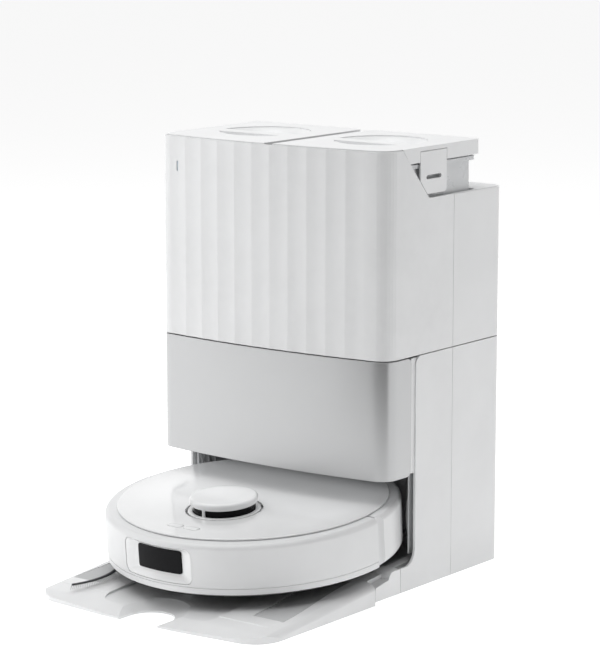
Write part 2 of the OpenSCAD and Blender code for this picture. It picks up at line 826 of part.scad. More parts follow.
module dustbin() {
    color("dimgray") parked() difference() {
        plate(rounded(bin_x0, bin_y0, bin_x1, bin_y1, 10), 44, 76.2);
        plate(rounded(bin_x0 + 2, bin_y0 + 2, bin_x1 - 2, bin_y1 - 2, 8), 46, 74);
        along_y(bin_y0 - 1, bin_y0 + 5) polygon(rounded(-50, 50, 20, 70, 4));
    }
}

module suction_fan() {
    color("black") parked() difference() {
        post(110, 60, 32, 44, 69);
        post(110, 60, 12, 60, 70);
    }
}

module battery() {
    color("royalblue") parked() plate(rounded(-70, -99, 70, -51, 6), 15, 50);
}

module robot_board() {
    color("green") parked() {
        block(-135, -92, 30, 78, 62.5, 64.1);
        block(-126, -110, 40, 56, 64.1, 66);
    }
}

module hub() {
    axle(wheel_x - 10, wheel_x + 10, wheel_y, wheel_r, 27);
    axle(wheel_x - 16, wheel_x - 9, wheel_y, wheel_r, 4);
}

module tyre() {
    difference() {
        axle(wheel_x - wheel_w / 2, wheel_x + wheel_w / 2, wheel_y, wheel_r, wheel_r);
        axle(wheel_x - wheel_w, wheel_x + wheel_w, wheel_y, wheel_r, 27);
    }
}

module right_hub() { color("gray") parked() hub(); }
module right_tyre() { color("black") parked() tyre(); }
module left_hub() { color("gray") parked() mirror([1, 0, 0]) hub(); }
module left_tyre() { color("black") parked() mirror([1, 0, 0]) tyre(); }

module wheel_gearboxes() {
    color("dimgray") parked() both_sides() difference() {
        block(93.5, 110.4, wheel_y - 34, wheel_y + 34, 15, 60);
        axle(107.8, 112, wheel_y, wheel_r, 4.05);
    }
}

module caster_fork() {
    color("dimgray") parked() {
        post(0, caster_y, 21, 29.5, 34.4);
        both_sides() difference() {
            block(8, 11, caster_y + caster_trail - 6, caster_y + caster_trail + 6, 8, 30);
            axle(7, 12, caster_y + caster_trail, caster_r, 2.05);
        }
        post(0, caster_y, 5, 34, 43);
        post(0, caster_y, 7.5, 40.3, 43);
    }
}

module caster_wheel() {
    color("gainsboro") parked() {
        axle(-7, 7, caster_y + caster_trail, caster_r, caster_r);
        axle(-10.8, 10.8, caster_y + caster_trail, caster_r, 2);
    }
}

// Main brush: a core with six blades
module main_brush() {
    color("darkslategray") parked() {
        translate([-brush_len / 2, brush_y, brush_z]) rotate([90, 0, 90])
            linear_extrude(brush_len)
                polygon([for (k = [0:5]) for (p = [[0, brush_r], [5, brush_r], [12, 15], [48, 15]])
                    [p[1] * cos(60 * k + p[0]), p[1] * sin(60 * k + p[0])]]);
        axle(-90.4, 90.4, brush_y, brush_z, 3);
    }
}

module brush_guard() {
    color("dimgray") parked() difference() {
        plate(rounded(-96, brush_y - 32, 96, brush_y + 32, 5), 9, 12);
        block(-87, 87, brush_y - 22.5, brush_y + 22.5, 8, 13);
    }
}

// Side brush: a hub with two curved comb arms
module side_brush() {
    color("dimgray") parked() translate([side_hub[0], side_hub[1], 0]) {
        post(0, 0, 13, 4, 10);
        post(0, 0, 5, 9, 20);
        for (turn = [0, 180]) rotate([0, 0, turn - 106]) {
            bend = 70;
            plate(concat(arc([42, bend], bend + 2.6, 212, 300, 12), arc([42, bend], bend - 1.8, 300, 212, 12)),
                  4, 7.4);
            for (i = [0:7]) translate([42, bend, 0]) rotate([0, 0, 262 + i * 4.6])
                block(bend + 1, bend + 8 - i * 0.6, -0.8, 0.8, 3.4, 6.4);
        }
    }
}

module mop_plate(x) {
    post(x, mop_y, 60, 8, 11.4);
    post(x, mop_y, 6, 11, 24);
}

module mop_pad(x) {
    post(x, mop_y, mop_r, 0.4, 8);
}

module left_mop_plate() { color("lightgray") parked() mop_plate(-mop_x); }
module right_mop_plate() { color("lightgray") parked() mop_plate(mop_x); }
module left_mop_pad() { color("lightsteelblue") parked() mop_pad(-mop_x); }
module right_mop_pad() { color("lightsteelblue") parked() mop_pad(mop_x); }

module mop_drives() {
    color("dimgray") parked() both_sides() difference() {
        post(mop_x, mop_y, 20, 15, 42);
        post(mop_x, mop_y, 6.05, 14, 25);
    }
}

module charge_pads() {
    color("goldenrod") parked() both_sides() intersection() {
        ring(174.4, 175, 30, 38);
        block(28, 44, 100, 200, 29, 39);
    }
}

module cliff_sensors() {
    color("black") parked() both_sides() {
        block(52, 66, -144, -136, 10.8, 12);
        block(141.5, 149.5, 34, 48, 10.8, 12);
    }
}

dock_base();
ramp_tray();
wheel_tracks();
wash_tray();
lower_shell();
rear_cover_lower();
rear_cover_upper();
bay_liner();
bay_vents();
dust_box();
dust_duct();
suction_motor();
water_pumps();
dock_contacts();
front_housing();
tank_bay();
status_light();
power_inlet();
dock_feet();
dock_screws();
dust_cover();
dust_bag();
clean_tank();
clean_lid();
clean_latch();
dirty_tank();
dirty_lid();
dirty_latch();
robot_chassis();
robot_shell();
bumper();
sensor_bezel();
sensor_window();
top_cover();
turret_cap();
turret_window();
lidar_head();
power_button();
home_button();
dustbin();
suction_fan();
battery();
robot_board();
left_hub();
left_tyre();
right_hub();
right_tyre();
wheel_gearboxes();
caster_fork();
caster_wheel();
main_brush();
brush_guard();
side_brush();
left_mop_plate();
left_mop_pad();
right_mop_plate();
right_mop_pad();
mop_drives();
charge_pads();
cliff_sensors();
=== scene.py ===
"""Looks of a robot vacuum parked in its dock. Metres, +Z up, -Y is the front of the dock."""
import json
import math
import random

import bmesh
import bpy
import numpy as np
from mathutils import Matrix, Vector


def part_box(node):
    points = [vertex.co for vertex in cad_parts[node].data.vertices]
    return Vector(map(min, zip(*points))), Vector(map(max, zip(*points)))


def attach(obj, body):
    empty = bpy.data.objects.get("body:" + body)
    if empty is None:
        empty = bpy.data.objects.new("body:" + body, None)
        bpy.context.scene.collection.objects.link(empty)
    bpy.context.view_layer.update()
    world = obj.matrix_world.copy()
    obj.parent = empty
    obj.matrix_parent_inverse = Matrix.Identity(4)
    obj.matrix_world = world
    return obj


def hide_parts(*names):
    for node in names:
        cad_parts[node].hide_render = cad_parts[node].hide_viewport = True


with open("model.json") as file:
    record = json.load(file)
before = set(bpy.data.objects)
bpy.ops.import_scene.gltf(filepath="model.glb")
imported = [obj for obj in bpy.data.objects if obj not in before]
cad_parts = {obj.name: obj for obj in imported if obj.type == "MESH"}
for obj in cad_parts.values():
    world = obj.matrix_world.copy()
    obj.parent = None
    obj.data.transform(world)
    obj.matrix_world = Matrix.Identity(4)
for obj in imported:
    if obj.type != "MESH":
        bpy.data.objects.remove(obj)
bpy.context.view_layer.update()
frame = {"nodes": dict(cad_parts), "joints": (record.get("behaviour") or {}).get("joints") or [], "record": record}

NODES = frame["nodes"]
RECORD = frame["record"]
JOINTS = {j["name"]: j for j in frame["joints"]}
BODY_OF = {n: b for b, ns in RECORD["behaviour"]["bodies"].items() for n in ns}
SLOT_OF = {s["node"]: s["material_slot"] for s in RECORD["subparts"]}
MM = 0.001


# ---- places in the frame ----

def joint_point(name):
    return Vector(JOINTS[name]["pos_m"])


def joint_axis(name):
    return Vector(JOINTS[name]["axis"]).normalized()


# The robot's own frame: its ground plane is z = 0 and its front is -Y
UP = joint_axis("lidar_spin")
BACK = -joint_axis("robot_drive_out")
RIGHT = Vector((1, 0, 0))
WHEEL_CENTRE = (0.124, -0.006, 0.035)
PARK_ORIGIN = (joint_point("right_wheel_spin") - WHEEL_CENTRE[0] * RIGHT
               - WHEEL_CENTRE[1] * BACK - WHEEL_CENTRE[2] * UP)
PARKED = Matrix.Translation(PARK_ORIGIN) @ Matrix((RIGHT, BACK, UP)).transposed().to_4x4()
SLOPE_RISE = BACK.z / BACK.y


# ---- camera ----

def make_camera():
    data = bpy.data.cameras.new("camera")
    data.lens = 146.15
    data.sensor_width = 36
    camera = bpy.data.objects.new("camera", data)
    camera.location = (1.9421, -2.4763, 0.8631)
    camera.rotation_euler = (math.radians(79.785), 0, math.radians(37.441))
    bpy.context.scene.collection.objects.link(camera)
    bpy.context.scene.camera = camera


make_camera()


# ---- materials ----

class Nodes:
    """A material's node tree, with short ways to add the nodes that the finishes share."""

    def __init__(self, name):
        self.material = bpy.data.materials.new(name)
        self.material.use_nodes = True
        self.tree = self.material.node_tree
        self.tree.nodes.clear()
        self.shader = self.add("ShaderNodeBsdfPrincipled")
        output = self.add("ShaderNodeOutputMaterial")
        self.link(self.shader.outputs["BSDF"], output.inputs["Surface"])
        self.place = self.add("ShaderNodeTexCoord").outputs["Object"]

    def add(self, kind, **settings):
        node = self.tree.nodes.new(kind)
        for key, value in settings.items():
            setattr(node, key, value)
        return node

    def link(self, a, b):
        self.tree.links.new(a, b)

    def noise(self, size, detail=3.0, stretch=None):
        """A noise pattern whose features are about size metres across."""
        place = self.place
        if stretch:
            mapping = self.add("ShaderNodeMapping")
            mapping.inputs["Scale"].default_value = stretch
            self.link(place, mapping.inputs["Vector"])
            place = mapping.outputs["Vector"]
        node = self.add("ShaderNodeTexNoise")
        node.inputs["Scale"].default_value = 1 / size
        node.inputs["Detail"].default_value = detail
        self.link(place, node.inputs["Vector"])
        return node.outputs["Fac"]

    def remap(self, value, low, high, to_low=0.0, to_high=1.0):
        node = self.add("ShaderNodeMapRange")
        node.inputs["From Min"].default_value = low
        node.inputs["From Max"].default_value = high
        node.inputs["To Min"].default_value = to_low
        node.inputs["To Max"].default_value = to_high
        self.link(value, node.inputs["Value"])
        return node.outputs["Result"]

    def math(self, operation, a, b):
        node = self.add("ShaderNodeMath", operation=operation)
        for socket, value in zip(node.inputs, (a, b)):
            if isinstance(value, (int, float)):
                socket.default_value = value
            else:
                self.link(value, socket)
        return node.outputs["Value"]

    def mix(self, factor, a, b):
        """A colour between a and b, where each is a colour or a socket."""
        node = self.add("ShaderNodeMix", data_type="RGBA")
        self.link(factor, node.inputs[0])
        for socket, value in ((node.inputs[6], a), (node.inputs[7], b)):
            if isinstance(value, tuple):
                socket.default_value = (*value, 1)
            else:
                self.link(value, socket)
        return node.outputs[2]

    def bump(self, height, depth, strength=1.0, under=None):
        node = self.add("ShaderNodeBump")
        node.inputs["Strength"].default_value = strength
        node.inputs["Distance"].default_value = depth
        self.link(height, node.inputs["Height"])
        if under is not None:
            self.link(under, node.inputs["Normal"])
        return node.outputs["Normal"]

    def worn_edges(self, start, full, patch=0.012):
        """Where outer edges are rubbed: 1 on the sharpest, broken up in patches."""
        geometry = self.add("ShaderNodeNewGeometry")
        edge = self.remap(geometry.outputs["Pointiness"], start, full)
        return self.math("MULTIPLY", edge, self.remap(self.noise(patch, 5), 0.35, 0.65))


def shade(colour, k):
    return tuple(min(1.0, c * k) for c in colour)


def moulded(name, colour, rough, spread=0.025, rough_spread=0.05, grain=0.0005, depth=0.00001,
            cloud=0.07, wear=0.25, wear_k=1.06, **sockets):
    """Moulded plastic or paint: faint clouds of shade, uneven sheen, spark-eroded grain and rubbed edges."""
    n = Nodes(name)
    base = n.mix(n.remap(n.noise(cloud, 4), 0.3, 0.7), shade(colour, 1 - spread), shade(colour, 1 + spread))
    rubbed = n.math("MULTIPLY", n.worn_edges(0.52, 0.62), wear)
    n.link(n.mix(rubbed, base, shade(colour, wear_k)), n.shader.inputs["Base Color"])
    patches = n.math("ADD", n.math("MULTIPLY", n.noise(0.03, 4), 0.6), n.math("MULTIPLY", n.noise(0.0022, 2), 0.4))
    n.link(n.remap(patches, 0.32, 0.68, rough - rough_spread, rough + rough_spread),
           n.shader.inputs["Roughness"])
    n.link(n.bump(n.noise(grain, 2), depth), n.shader.inputs["Normal"])
    for socket, value in sockets.items():
        n.shader.inputs[socket.replace("_", " ")].default_value = value
    return n.material


def tank_plastic(name):
    """Smoke-grey translucent plastic with faint flow marks."""
    n = Nodes(name)
    colour = (0.66, 0.67, 0.68)
    n.link(n.mix(n.remap(n.noise(0.05, 3), 0.3, 0.7), shade(colour, 0.94), shade(colour, 1.05)),
           n.shader.inputs["Base Color"])
    n.link(n.remap(n.noise(0.02, 4), 0.3, 0.7, 0.24, 0.36), n.shader.inputs["Roughness"])
    n.link(n.bump(n.noise(0.0012, 2), 0.000002), n.shader.inputs["Normal"])
    n.shader.inputs["Transmission Weight"].default_value = 0.05
    n.shader.inputs["IOR"].default_value = 1.5
    return n.material


def metal(name, colour, rough, stretch):
    """Plated or brushed metal, with its lines along one axis."""
    n = Nodes(name)
    n.link(n.mix(n.remap(n.noise(0.02, 4), 0.3, 0.7), shade(colour, 0.88), shade(colour, 1.08)),
           n.shader.inputs["Base Color"])
    lines = n.noise(0.0012, 4, stretch)
    n.link(n.remap(lines, 0.3, 0.7, rough - 0.08, rough + 0.1), n.shader.inputs["Roughness"])
    n.link(n.bump(lines, 0.000008), n.shader.inputs["Normal"])
    n.shader.inputs["Metallic"].default_value = 1
    return n.material


def cloth(name, colour, dark, pitch, depth):
    """Looped or bonded fibres: two crossed sets of threads broken up by noise."""
    n = Nodes(name)
    across = n.noise(pitch, 3, (1, 0.25, 1))
    along = n.noise(pitch * 1.15, 3, (0.25, 1, 1))
    threads = n.math("MAXIMUM", across, along)
    n.link(n.mix(n.remap(threads, 0.42, 0.7), dark, colour), n.shader.inputs["Base Color"])
    n.link(n.remap(n.noise(0.02, 3), 0.3, 0.7, 0.82, 0.95), n.shader.inputs["Roughness"])
    n.link(n.bump(threads, depth), n.shader.inputs["Normal"])
    n.shader.inputs["Sheen Weight"].default_value = 0.35
    n.shader.inputs["Sheen Roughness"].default_value = 0.5
    return n.material


def circuit(name):
    """Solder mask over faint tracks."""
    n = Nodes(name)
    tracks = n.add("ShaderNodeTexBrick")
    tracks.inputs["Scale"].default_value = 260
    tracks.inputs["Mortar Size"].default_value = 0.03
    n.link(n.place, tracks.inputs["Vector"])
    n.link(n.mix(tracks.outputs["Fac"], (0.012, 0.10, 0.05), (0.05, 0.25, 0.11)), n.shader.inputs["Base Color"])
    n.link(n.remap(n.noise(0.006, 3), 0.3, 0.7, 0.25, 0.45), n.shader.inputs["Roughness"])
    n.link(n.bump(tracks.outputs["Fac"], 0.00003), n.shader.inputs["Normal"])
    return n.material


WHITE = (0.77, 0.775, 0.78)
FINISH = {
    "dock_white": moulded("dock_white", (0.74, 0.745, 0.75), 0.42, Specular_IOR_Level=0.6),
    "inner_grey": moulded("inner_grey", (0.58, 0.59, 0.60), 0.45),
    "tray_grey": moulded("tray_grey", (0.77, 0.775, 0.78), 0.36, Specular_IOR_Level=0.6),
    "bay_dark": moulded("bay_dark", (0.15, 0.152, 0.156), 0.42, wear_k=1.5),
    "cover_silver": moulded("cover_silver", (0.44, 0.444, 0.448), 0.29, rough_spread=0.004, spread=0.006,
                            depth=0.000002, wear=0.0, Metallic=0.8,
                            Coat_Weight=0.25, Coat_Roughness=0.2),
    "lid_white": moulded("lid_white", WHITE, 0.32, rough_spread=0.02, depth=0.000002, wear=0.1,
                         Specular_IOR_Level=0.55),
    "tank_smoke": tank_plastic("tank_smoke"),
    "robot_gloss": moulded("robot_gloss", (0.78, 0.785, 0.79), 0.17, rough_spread=0.03, depth=0.000002,
                           Coat_Weight=0.6, Coat_Roughness=0.08),
    "robot_satin": moulded("robot_satin", (0.72, 0.725, 0.73), 0.36, Specular_IOR_Level=0.55),
    "black_gloss": moulded("black_gloss", (0.006, 0.006, 0.007), 0.06, rough_spread=0.015, depth=0.0000005,
                           wear_k=3.0, Specular_IOR_Level=0.08),
    "dark_plastic": moulded("dark_plastic", (0.05, 0.051, 0.054), 0.48, wear_k=2.0),
    "rubber_grey": moulded("rubber_grey", (0.34, 0.344, 0.35), 0.62, depth=0.00002, wear_k=1.4),
    "tyre_rubber": moulded("tyre_rubber", (0.022, 0.022, 0.023), 0.75, grain=0.0008, depth=0.00004, wear_k=3.0),
    "steel": metal("steel", (0.55, 0.55, 0.56), 0.32, (1, 1, 0.1)),
    "contact_gold": metal("contact_gold", (0.80, 0.58, 0.25), 0.25, (1, 0.2, 1)),
    "board_green": circuit("board_green"),
    "battery_blue": moulded("battery_blue", (0.03, 0.08, 0.30), 0.35, wear_k=1.6),
    "bag_paper": cloth("bag_paper", (0.74, 0.71, 0.65), (0.58, 0.55, 0.49), 0.0009, 0.00012),
    "mop_cloth": cloth("mop_cloth", (0.42, 0.46, 0.53), (0.22, 0.25, 0.31), 0.0016, 0.0007),
    "light_pipe": moulded("light_pipe", (0.62, 0.66, 0.68), 0.2, Subsurface_Weight=0.3),
}
TRACK_GREY = moulded("track_grey", (0.50, 0.505, 0.51), 0.5, depth=0.00002)
CARD = moulded("bag_card", (0.50, 0.36, 0.22), 0.8, grain=0.0012, depth=0.00003, wear_k=1.2)
BRISTLE = moulded("bristle", (0.055, 0.056, 0.06), 0.5, wear_k=1.4)


# ---- CAD nodes that stay: materials and softened edges ----

def paint(obj, material):
    obj.data.materials.clear()
    obj.data.materials.append(material)


def smooth_shading(mesh):
    mesh.polygons.foreach_set("use_smooth", [True] * len(mesh.polygons))


def add_bevel(obj, width, segments, limit):
    bevel = obj.modifiers.new("bevel", "BEVEL")
    bevel.width = width
    bevel.segments = segments
    bevel.limit_method = "ANGLE"
    bevel.angle_limit = math.radians(limit)
    bevel.miter_outer = "MITER_ARC"
    bevel.harden_normals = False


def soften(obj, width, segments=2, limit=28, ridge=0.0):
    """Rounds an object's sharp edges and keeps its flat faces flat. Ridges too blunt for that get a narrow bevel."""
    if "custom_normal" in obj.data.attributes:
        obj.data.attributes.remove(obj.data.attributes["custom_normal"])
    smooth_shading(obj.data)
    weld = obj.modifiers.new("weld", "WELD")
    weld.merge_threshold = 0.00002
    flat = obj.modifiers.new("flat", "DECIMATE")
    flat.decimate_type = "DISSOLVE"
    flat.angle_limit = math.radians(0.3)
    if width:
        add_bevel(obj, width, segments, limit)
    if ridge:
        add_bevel(obj, ridge, 1, 8)
    normals = obj.modifiers.new("normals", "WEIGHTED_NORMAL")
    normals.mode = "FACE_AREA"
    normals.weight = 60
    normals.keep_sharp = True


EDGE = {
    "dust_cover": 0.9, "lower_shell": 0.8, "rear_cover_lower": 0.8,
    "rear_cover_upper": 1.5, "clean_lid": 1.6, "dirty_lid": 1.6, "clean_latch": 0.5, "dirty_latch": 0.5,
    "clean_tank": 0.8, "dirty_tank": 0.8, "bumper": 0.9, "robot_shell": 0.9, "top_cover": 0.4,
    "sensor_window": 0.15, "turret_window": 0.2, "dock_base": 1.2, "bay_vents": 0.9,
    "wheel_tracks": 0.25, "dock_screws": 0.2, "charge_pads": 0.12,
    "cliff_sensors": 0.3, "robot_board": 0.2, "dock_contacts": 0.8, "status_light": 0.3,
}
REPLACED = {"sensor_bezel", "side_brush", "left_tyre", "right_tyre", "main_brush", "left_mop_pad",
            "right_mop_pad", "dust_bag", "turret_cap", "power_button", "home_button"}
for node, obj in NODES.items():
    paint(obj, FINISH[SLOT_OF[node]])
    if node == "front_housing":
        soften(obj, 1.6 * MM, segments=8, limit=40, ridge=0.35 * MM)
    elif node not in REPLACED:
        soften(obj, EDGE.get(node, 0.6) * MM)
paint(NODES["wheel_tracks"], TRACK_GREY)


# ---- pieces made here ----

def add_piece(name, points, faces, material, slot, body, replaced=(), placed=PARKED):
    """A closed mesh from points in millimetres, riding on a body. placed takes its own frame to the row frame."""
    bm = bmesh.new()
    vertices = [bm.verts.new(placed @ (MM * Vector(p))) for p in points]
    for face in faces:
        bm.faces.new([vertices[i] for i in face])
    bmesh.ops.remove_doubles(bm, verts=bm.verts, dist=0.000005)
    bmesh.ops.recalc_face_normals(bm, faces=bm.faces)
    mesh = bpy.data.meshes.new(name)
    bm.to_mesh(mesh)
    bm.free()
    smooth_shading(mesh)
    obj = bpy.data.objects.new(name, mesh)
    bpy.context.scene.collection.objects.link(obj)
    paint(obj, material)
    if replaced:
        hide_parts(*replaced)
    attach(obj, body)
    return obj


def loft(rings, looped=False):
    """A skin over closed rings with the same number of points, capped at both ends or looped to its start."""
    n = len(rings[0])
    points = [p for ring in rings for p in ring]
    pairs = [(k, k + 1) for k in range(len(rings) - 1)] + ([(len(rings) - 1, 0)] if looped else [])
    faces = [(a * n + j, a * n + (j + 1) % n, b * n + (j + 1) % n, b * n + j) for a, b in pairs for j in range(n)]
    if not looped:
        faces += [tuple(range(n)), tuple(range(len(points) - n, len(points)))]
    return points, faces


def joined(parts):
    points, faces = [], []
    for more_points, more_faces in parts:
        start = len(points)
        points += more_points
        faces += [tuple(i + start for i in face) for face in more_faces]
    return points, faces


def moved(part, x=0.0, y=0.0, z=0.0, turn=0.0):
    """The same part turned about Z by turn degrees, then shifted."""
    c, s = math.cos(math.radians(turn)), math.sin(math.radians(turn))
    return [(c * a - s * b + x, s * a + c * b + y, h + z) for a, b, h in part[0]], part[1]


def circle(radius, height, n):
    return [(radius * math.cos(2 * math.pi * k / n), radius * math.sin(2 * math.pi * k / n), height)
            for k in range(n)]


def lathe(profile, n=128):
    """A solid of revolution about Z from a profile of (radius, height), open at the axis."""
    return loft([circle(max(r, 0.01), h, n) for r, h in profile])


def hoop(profile, n=128):
    """A ring about Z whose closed section is a profile of (radius, height)."""
    return loft([circle(r, h, n) for r, h in profile], looped=True)


def arc(centre, radius, start, end, n):
    return [(centre[0] + radius * math.cos(math.radians(start + (end - start) * k / n)),
             centre[1] + radius * math.sin(math.radians(start + (end - start) * k / n))) for k in range(n + 1)]


def rounded_outline(x0, y0, x1, y1, r, corner=8, side=6):
    """Points round a rectangle with round corners, with the same number on every such outline."""
    corners = [arc((x1 - r, y0 + r), r, -90, 0, corner), arc((x1 - r, y1 - r), r, 0, 90, corner),
               arc((x0 + r, y1 - r), r, 90, 180, corner), arc((x0 + r, y0 + r), r, 180, 270, corner)]
    outline = []
    for k, points in enumerate(corners):
        outline += points
        a, b = points[-1], corners[(k + 1) % 4][0]
        outline += [(a[0] + (b[0] - a[0]) * j / side, a[1] + (b[1] - a[1]) * j / side) for j in range(1, side)]
    return outline


def swept(path, sections, sides=8):
    """A flat-lying tube along a path of (x, y, z), with half-sizes (across, up) at each point."""
    rings = []
    for k, (point, (across, up)) in enumerate(zip(path, sections)):
        a, b = path[max(k - 1, 0)], path[min(k + 1, len(path) - 1)]
        along = Vector(b) - Vector(a)
        side = Vector((-along.y, along.x, 0)).normalized()
        top = along.cross(side).normalized()
        rings.append([tuple(Vector(point) + side * across * math.cos(2 * math.pi * j / sides)
                            + top * up * math.sin(2 * math.pi * j / sides)) for j in range(sides)])
    return loft(rings)


def smooth_step(x):
    x = min(max(x, 0.0), 1.0)
    return x * x * (3 - 2 * x)


BUMPER_R = 175.6
SENSOR_OUTER = (-57.65, 28.35, 43.65, 70.15, 8.7)
SENSOR_INNER = (-35.8, 38.7, 28.3, 65.8, 2.8)


def make_sensor_surround():
    """The scooped frame that falls from the bumper's face to the black window."""
    outer = rounded_outline(*SENSOR_OUTER)
    inner = rounded_outline(*SENSOR_INNER)

    def ring(t, radius):
        points = [(a[0] + (b[0] - a[0]) * t, a[1] + (b[1] - a[1]) * t) for a, b in zip(outer, inner)]
        return [(x, -math.sqrt(radius * radius - x * x), z) for x, z in points]

    lip, drop = BUMPER_R - 0.35, 4.2
    rings = [ring(0, 172.0), ring(0, lip - 0.9), ring(0.012, lip - 0.3), ring(0.045, lip), ring(0.09, lip - 0.02)]
    for k in range(1, 13):
        t = 0.09 + 0.87 * k / 12
        rings.append(ring(t, lip - drop * (0.55 * smooth_step(k / 12) + 0.45 * math.sin(math.pi * k / 24))))
    rings += [ring(0.985, lip - drop - 0.25), ring(1.0, lip - drop - 0.9), ring(1.0, 169.2), ring(0, 169.2)]
    add_piece("sensor_surround", *loft(rings, looped=True), FINISH["robot_gloss"], "robot_satin", "bumper",
              ["sensor_bezel"])


TURRET_Y = -54.5


def make_turret():
    """The cap over the laser scanner, its foot ring and the three thin posts between them."""
    cap = lathe([(0, 90.6), (34, 90.6), (36.7, 90.6), (36.7, 89)] + arc((37.2, 88.9), 0.5, 180, 270, 3)
                + [(38.9, 88.4)] + arc((38.9, 89.1), 0.7, -90, 0, 4)
                + arc((36.4, 93.0), 3.8, 4, 84, 10) + [(34, 97.05), (24, 97.3), (12, 97.45), (0, 97.5)])
    foot = hoop([(36.7, 73.6), (42.9, 73.6)] + arc((41.9, 79.2), 1.0, 0, 70, 5) + arc((37.9, 79.3), 0.9, 80, 150, 4)
                + [(36.7, 79.4)])
    posts = []
    for turn in (270, 30, 150):
        rings = []
        for height, half in ((79.2, 3.2), (80.2, 2.4), (81.4, 2.1), (86.8, 2.1), (87.8, 2.5), (88.9, 3.4)):
            rings.append([(36.8, -half, height), (37.9, -half, height), (38.6, -half + 0.6, height),
                          (38.6, half - 0.6, height), (37.9, half, height), (36.8, half, height)])
        posts.append(moved(loft(rings), turn=turn))
    add_piece("turret_top", *moved(joined([cap] + posts), y=TURRET_Y), FINISH["robot_gloss"], "robot_gloss",
              "robot", ["turret_cap"])
    add_piece("turret_foot", *moved(foot, y=TURRET_Y), FINISH["robot_gloss"], "robot_gloss", "robot")


def make_dish(lid, centre):
    """The smooth bowl in a tank lid's oval recess."""
    wide, deep, rim, floor, base = 54.9, 56.4, 521.8, 511.0, 509.6

    def oval(inset, height):
        return [((wide - inset) * math.cos(2 * math.pi * k / 128) + centre[0],
                 (deep - inset) * math.sin(2 * math.pi * k / 128) + centre[1], height) for k in range(128)]

    rings = [oval(0, base), oval(0, rim - 0.4), oval(0.3, rim), oval(0.8, rim)]
    rings += [oval(1.2 + 24 * k / 14, rim - (rim - floor) * smooth_step(k / 14)) for k in range(1, 15)]
    add_piece(lid + "_dish", *loft(rings), FINISH["lid_white"], "lid_white", lid, placed=Matrix.Identity(4))


def make_buttons():
    """Two crowned keys with round ends."""
    for name in ("power_button", "home_button"):
        low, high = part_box(name)
        centre = PARKED.inverted() @ ((Vector(low) + Vector(high)) / 2) / MM
        rings = []
        for inset, height in ((0, 75.6), (0, 79.9), (0.25, 80.3), (0.8, 80.55), (1.8, 80.7), (3.2, 80.85), (4.8, 80.95)):
            w, d = 10 - inset, 5.5 - inset
            rings.append([(x + centre.x, y + centre.y, height)
                          for x, y in rounded_outline(-w, -d, w, d, min(d, 5.4) - 0.02, 8, 4)])
        stem = moved(lathe([(0, 68), (2.5, 68), (2.5, 75.8), (0, 75.8)], 32), centre.x, centre.y)
        add_piece(name + "_key", *joined([loft(rings), stem]), FINISH["robot_gloss"], "robot_gloss", name, [name])


def make_tyre(name, side):
    """A crowned tyre with slanted tread bars that meet in the middle."""
    half, bore, rim, bars = 12.0, 27.05, 34.9, 34
    around, across = 340, 24
    rings = []
    for k in range(around):
        turn = 2 * math.pi * k / around
        section = []
        for j in range(across + 1):
            w = half * (2 * j / across - 1)
            edge = abs(w) / half
            wave = math.sin(bars * turn + 2.6 * edge + (0 if w < 0 else math.pi))
            groove = smooth_step((wave - 0.15) / 0.5) * smooth_step((edge - 0.06) / 0.08)
            radius = rim - 0.9 * edge ** 4 - 1.9 * groove
            section.append((w, radius))
        section += [(half, 31.5), (half - 0.8, 29), (half - 0.8, bore), (0, bore), (0.8 - half, bore),
                    (0.8 - half, 29), (-half, 31.5)]
        rings.append([(side * WHEEL_CENTRE[0] / MM + w, WHEEL_CENTRE[1] / MM + r * math.cos(turn),
                       WHEEL_CENTRE[2] / MM + r * math.sin(turn)) for w, r in section])
    body = name.split("_")[0] + "_wheel"
    add_piece(name + "_tread", *loft(rings, looped=True), FINISH["tyre_rubber"], "tyre_rubber", body, [name])


def make_roller():
    """The main brush: a core with six thin rubber blades that run in a V from the middle."""
    centre = PARKED.inverted() @ joint_point("main_brush_spin") / MM
    half, core, tip, steps, around, blades = 84.0, 14.5, 22.7, 64, 240, 6

    def ring(x, radius):
        return [(x, centre.y + radius(a) * math.cos(math.radians(a)), centre.z + radius(a) * math.sin(math.radians(a)))
                for a in (360 * k / around for k in range(around))]

    def blade_radius(x):
        def radius(a):
            off = (a + 0.62 * abs(x)) % (360 / blades) - 180 / blades
            return core + (tip - core) * math.exp(-(off / 3.4) ** 4) + 0.5 * math.exp(-(off / 9) ** 2)
        return radius

    rings = [ring(-90.3, lambda a: 3), ring(-half - 0.4, lambda a: 3), ring(-half - 0.4, lambda a: core - 1)]
    rings += [ring(x, blade_radius(x)) for x in (half * (2 * k / steps - 1) for k in range(steps + 1))]
    rings += [ring(half + 0.4, lambda a: core - 1), ring(half + 0.4, lambda a: 3), ring(90.3, lambda a: 3)]
    add_piece("roller_brush", *loft(rings), FINISH["rubber_grey"], "rubber_grey", "main_brush", ["main_brush"])


